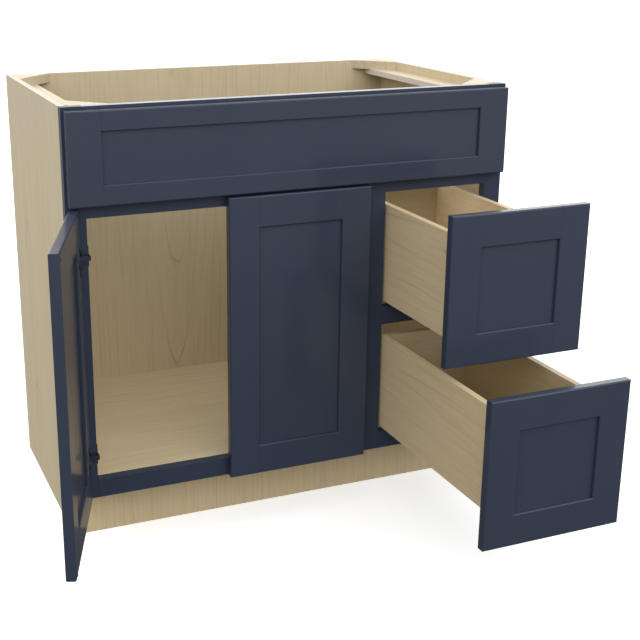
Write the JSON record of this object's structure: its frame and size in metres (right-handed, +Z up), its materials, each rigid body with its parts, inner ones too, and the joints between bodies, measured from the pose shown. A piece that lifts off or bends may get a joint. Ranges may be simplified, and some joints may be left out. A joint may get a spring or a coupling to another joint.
{
  "type": "bathroom vanity cabinet",
  "caption": "Face-frame vanity base cabinet with hinged shaker doors, full-extension drawers, a fixed false front, a toe space and an open top for a countertop and sink.",
  "frame": {"origin": "at floor level, in the middle of the width, in the plane of the wall that the back stands against", "axes": "+Z up; +Y towards the wall, so the doors and drawers face -Y; +X to the right as seen from the front"},
  "size_m": [1.0058, 0.9956, 0.8763],
  "materials": {
    "painted_wood": "satin navy-grey paint on solid maple and fibreboard",
    "case_plywood": "clear matt lacquer on maple-veneered plywood",
    "drawer_plywood": "clear satin lacquer on maple-veneered plywood",
    "inner_wood": "bare planed maple and plywood",
    "hinge_steel": "gunmetal-plated",
    "slide_steel": "zinc-plated, rolled",
    "screw_steel": "zinc-plated",
    "bumper": "smoky soft plastic"
  },
  "bodies": {
    "case": {"left_side_panel": "case_plywood", "right_side_panel": "case_plywood", "back_panel": "case_plywood", "floor_panel": "case_plywood", "toe_board": "case_plywood", "left_cleat": "inner_wood", "right_cleat": "inner_wood", "corner_gussets": "inner_wood", "left_stile": "painted_wood", "centre_stile": "painted_wood", "right_stile": "painted_wood", "top_rail": "painted_wood", "middle_rail": "painted_wood", "drawer_rail": "painted_wood", "bottom_rail": "painted_wood", "false_front_stiles": "painted_wood", "false_front_rails": "painted_wood", "false_front_panel": "painted_wood", "false_front_screws": "screw_steel", "slide_bearers": "inner_wood", "top_slide_rails": "slide_steel", "bottom_slide_rails": "slide_steel", "left_hinge_arms": "hinge_steel", "right_hinge_arms": "hinge_steel"},
    "top_slide_middle": {"top_slide_middles": "slide_steel"},
    "bottom_slide_middle": {"bottom_slide_middles": "slide_steel"},
    "left_door": {"left_door_hinge_stile": "painted_wood", "left_door_free_stile": "painted_wood", "left_door_rails": "painted_wood", "left_door_panel": "painted_wood", "left_hinge_cups": "hinge_steel", "left_hinge_pins": "hinge_steel", "left_door_bumpers": "bumper"},
    "right_door": {"right_door_hinge_stile": "painted_wood", "right_door_free_stile": "painted_wood", "right_door_rails": "painted_wood", "right_door_panel": "painted_wood", "right_hinge_cups": "hinge_steel", "right_hinge_pins": "hinge_steel", "right_door_bumpers": "bumper"},
    "top_drawer": {"top_drawer_left_side": "drawer_plywood", "top_drawer_right_side": "drawer_plywood", "top_drawer_box_front": "drawer_plywood", "top_drawer_box_back": "drawer_plywood", "top_drawer_bottom": "drawer_plywood", "top_drawer_front_stiles": "painted_wood", "top_drawer_front_rails": "painted_wood", "top_drawer_front_panel": "painted_wood", "top_drawer_screws": "screw_steel", "top_drawer_runners": "slide_steel"},
    "bottom_drawer": {"bottom_drawer_left_side": "drawer_plywood", "bottom_drawer_right_side": "drawer_plywood", "bottom_drawer_box_front": "drawer_plywood", "bottom_drawer_box_back": "drawer_plywood", "bottom_drawer_bottom": "drawer_plywood", "bottom_drawer_front_stiles": "painted_wood", "bottom_drawer_front_rails": "painted_wood", "bottom_drawer_front_panel": "painted_wood", "bottom_drawer_screws": "screw_steel", "bottom_drawer_runners": "slide_steel"}
  },
  "joints": [
    {"name": "left_door_hinge", "type": "hinge", "parent": "case", "child": "left_door", "pos_m": [-0.4451, -0.5454, 0.4], "axis": [0, 0, -1], "range_deg": [-109.2, 0]},
    {"name": "right_door_hinge", "type": "hinge", "parent": "case", "child": "right_door", "pos_m": [0.1403, -0.5454, 0.4], "axis": [0, 0, 1], "range_deg": [0, 90]},
    {"name": "top_drawer_slide", "type": "slide", "parent": "case", "child": "top_drawer", "axis": [0, -1, 0], "range_m": [-0.28575, 0.17145]},
    {"name": "bottom_drawer_slide", "type": "slide", "parent": "case", "child": "bottom_drawer", "axis": [0, -1, 0], "range_m": [-0.4412, 0.016]},
    {"name": "top_middle_slide", "type": "slide", "parent": "case", "child": "top_slide_middle", "axis": [0, -1, 0], "range_m": [-0.14288, 0.08572]},
    {"name": "bottom_middle_slide", "type": "slide", "parent": "case", "child": "bottom_slide_middle", "axis": [0, -1, 0], "range_m": [-0.2206, 0.008]}
  ],
  "couplings": [
    {"joint": "top_middle_slide", "follows": "top_drawer_slide", "ratio": 0.5},
    {"joint": "bottom_middle_slide", "follows": "bottom_drawer_slide", "ratio": 0.5}
  ]
}
